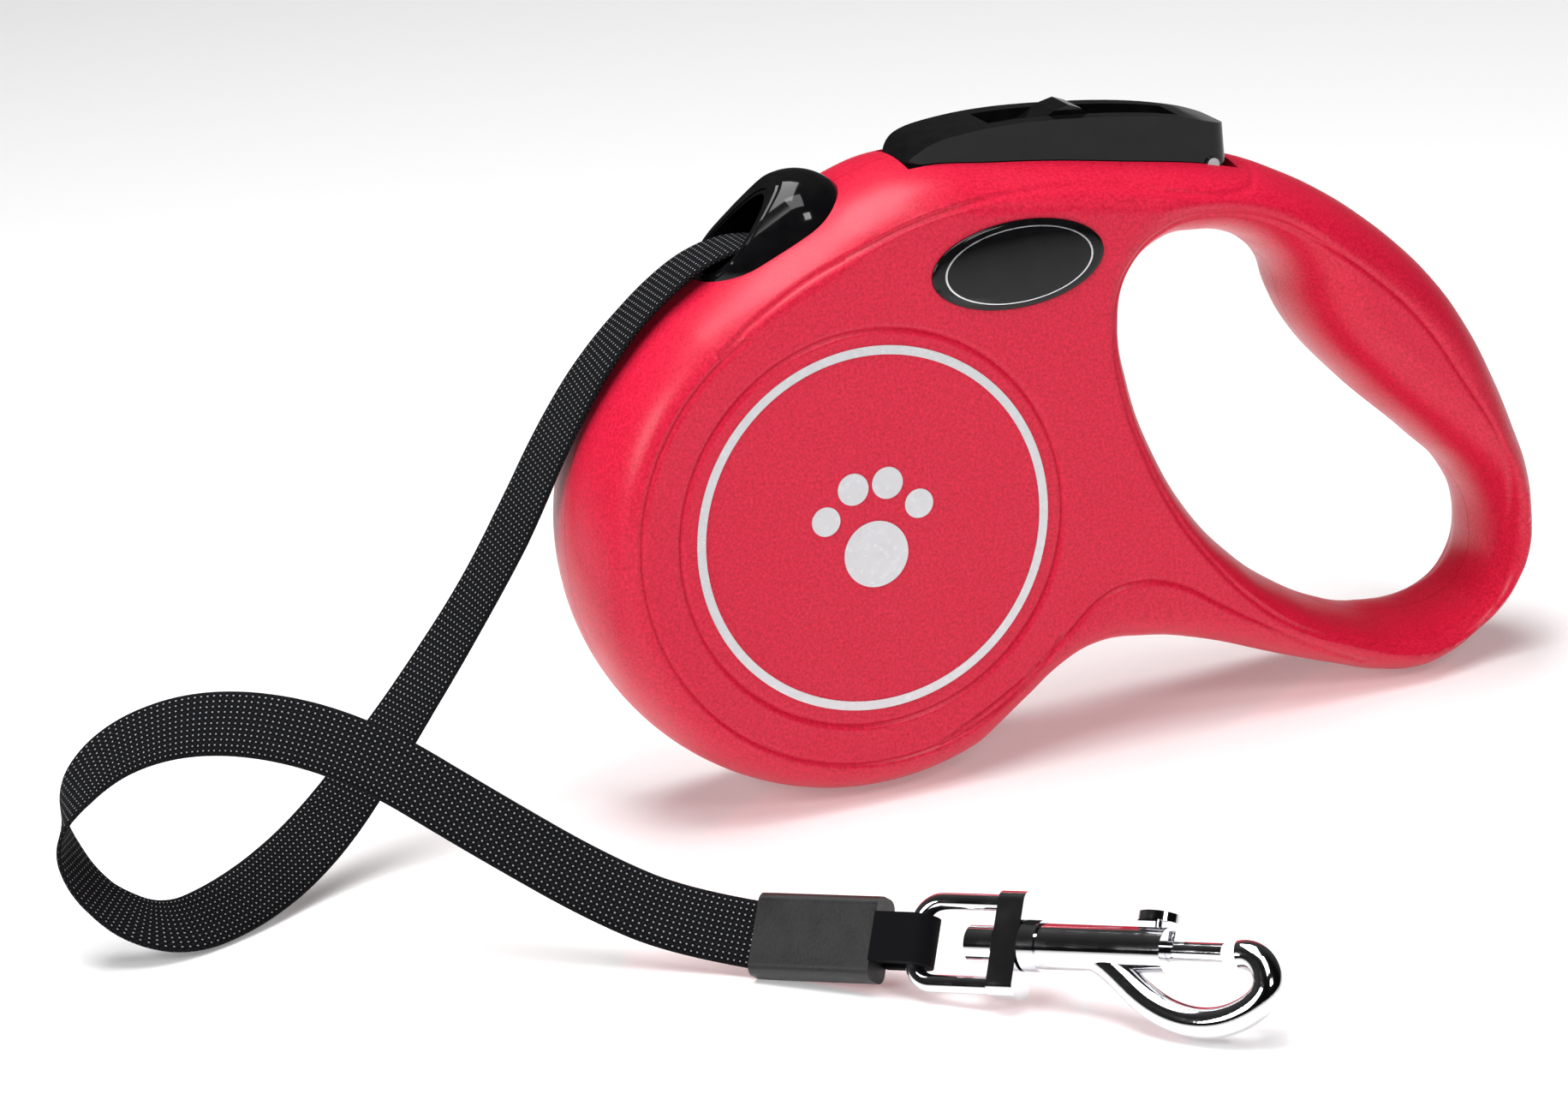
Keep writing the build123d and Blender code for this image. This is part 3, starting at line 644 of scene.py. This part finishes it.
def make_housing():
    outer = Boundary(case_outline(0.7 * MM))
    hole = Boundary(smooth_line(HOLE_MM, True, 0.7 * MM))
    rows, centres = groove_rows()
    made = skin_points(outer, hole, rows)
    well, seat, sinks = well_cutter(), outlet_cutter(), sink_cutter()
    for node, facing in (("near_shell", -1), ("far_shell", 1)):
        skin = skin_half(node + "_skin", facing, outer, hole, made, centres, RED)
        cut(skin, [well, seat] if facing < 0 else [well, seat, sinks])
        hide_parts(node)
        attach(skin, "housing")
    for cutter in (well, seat, sinks):
        bpy.data.objects.remove(cutter)


make_housing()


# ---- badges and pin ----------------------------------------------------------------------------


def make_badge(node, facing):
    """Oval badge under a clear dome, with a thin silver line round it."""
    low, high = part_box(node)
    centre = (low + high) / 2
    rx, rz = (high.x - low.x) / 2, (high.z - low.z) / 2
    face = HALF_T + 0.4 * MM
    verts, faces = [], []
    count = 96
    rings = [(1.0, -0.9), (1.0, -0.15), (0.985, 0.0), (0.95, 0.12), (0.85, 0.3), (0.7, 0.5), (0.5, 0.68),
             (0.25, 0.8)]
    for share, rise in rings:
        for k in range(count):
            a = 2 * math.pi * k / count
            verts.append((centre.x + rx * share * math.cos(a), facing * (face + rise * MM),
                          centre.z + rz * share * math.sin(a)))
    verts.append((centre.x, facing * (face + 0.85 * MM), centre.z))
    for r in range(len(rings) - 1):
        for k in range(count):
            j = (k + 1) % count
            faces.append((r * count + k, r * count + j, (r + 1) * count + j, (r + 1) * count + k)[::-facing])
    last = (len(rings) - 1) * count
    faces += [(last + k, last + (k + 1) % count, len(verts) - 1)[::-facing] for k in range(count)]
    dome = add_mesh(node + "_dome", verts, faces)
    dome.data.materials.append(BADGE)
    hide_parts(node)
    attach(dome, "housing")

    verts, faces = [], []
    for k in range(count):
        a = 2 * math.pi * k / count
        for share, rise in ((0.84, 0.34), (0.862, 0.30)):
            verts.append((centre.x + rx * share * math.cos(a), facing * (face + rise * MM),
                          centre.z + rz * share * math.sin(a)))
    for k in range(count):
        j = (k + 1) % count
        faces.append((2 * k, 2 * j, 2 * j + 1, 2 * k + 1)[::facing])
    line = add_mesh(node + "_line", verts, faces)
    line.data.materials.append(SILVER)
    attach(line, "housing")


def make_pin():
    """The button's pin, kept within the rounded housing."""
    maker = bmesh.new()
    place = Matrix.Translation((28.0 * MM, 0, 88.2 * MM)) @ Matrix.Rotation(math.pi / 2, 4, "X")
    bmesh.ops.create_cone(maker, cap_ends=True, segments=32, radius1=1.0 * MM, radius2=1.0 * MM,
                          depth=14.4 * MM, matrix=place)
    mesh = bpy.data.meshes.new("short_pin")
    maker.to_mesh(mesh)
    maker.free()
    pin = bpy.data.objects.new("short_pin", mesh)
    bpy.context.collection.objects.link(pin)
    pin.data.materials.append(STEEL)
    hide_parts("button_pin")
    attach(pin, "housing")


make_badge("near_badge", -1)
make_badge("far_badge", 1)
make_pin()


# ---- floor and light ---------------------------------------------------------------------------


def make_stage():
    s = Shader("floor_white", (0.93, 0.93, 0.93), 0.06)
    s.link(s.range(s.noise(0.4, 2), 0.04, 0.08), s.main.inputs["Roughness"])
    s.main.inputs["Emission Color"].default_value = (1, 1, 1, 1)
    s.main.inputs["Emission Strength"].default_value = 0.22
    size = 6.0
    floor = add_mesh("floor", [(-size, -size, 0), (size, -size, 0), (size, size, 0), (-size, size, 0)],
                     [(0, 1, 2, 3)], smooth=False)
    floor.data.materials.append(s.material)


def area_light(name, place, target, size, power, size_y=None):
    light = bpy.data.lights.new(name, "AREA")
    light.shape = "RECTANGLE"
    light.size = size
    light.size_y = size_y or size
    light.energy = power
    obj = bpy.data.objects.new(name, light)
    obj.location = place
    obj.rotation_mode = "QUATERNION"
    obj.rotation_quaternion = (Vector(target) - Vector(place)).to_track_quat("-Z", "Y")
    bpy.context.collection.objects.link(obj)


def make_light():
    """White backdrop behind, dim room in front, and softboxes that give the shading and the reflections."""
    world = bpy.data.worlds.new("studio")
    world.use_nodes = True
    tree = world.node_tree
    place = tree.nodes.new("ShaderNodeTexCoord")
    split = tree.nodes.new("ShaderNodeSeparateXYZ")
    ramp = tree.nodes.new("ShaderNodeMapRange")
    ramp.inputs["From Min"].default_value = -0.15
    ramp.inputs["From Max"].default_value = 0.55
    ramp.inputs["To Min"].default_value = 0.07
    ramp.inputs["To Max"].default_value = 1.0
    tree.links.new(place.outputs["Generated"], split.inputs[0])
    tree.links.new(split.outputs["Y"], ramp.inputs["Value"])
    tree.links.new(ramp.outputs["Result"], tree.nodes["Background"].inputs["Strength"])
    bpy.context.scene.world = world
    centre = (0, 0, 0.05)
    area_light("top_softbox", (-0.15, 0.1, 0.95), centre, 0.75, 9.5, 0.5)
    area_light("left_softbox", (-0.95, -0.45, 0.55), centre, 0.45, 5.5)
    area_light("front_fill", (0.25, -1.3, 0.95), (0, 0, 0.03), 0.35, 5.0)
    area_light("floor_wash", (-0.1, -0.55, 1.3), (-0.1, -0.25, 0), 0.6, 6.0)


make_stage()
make_light()
bpy.context.scene.view_settings.view_transform = "Standard"
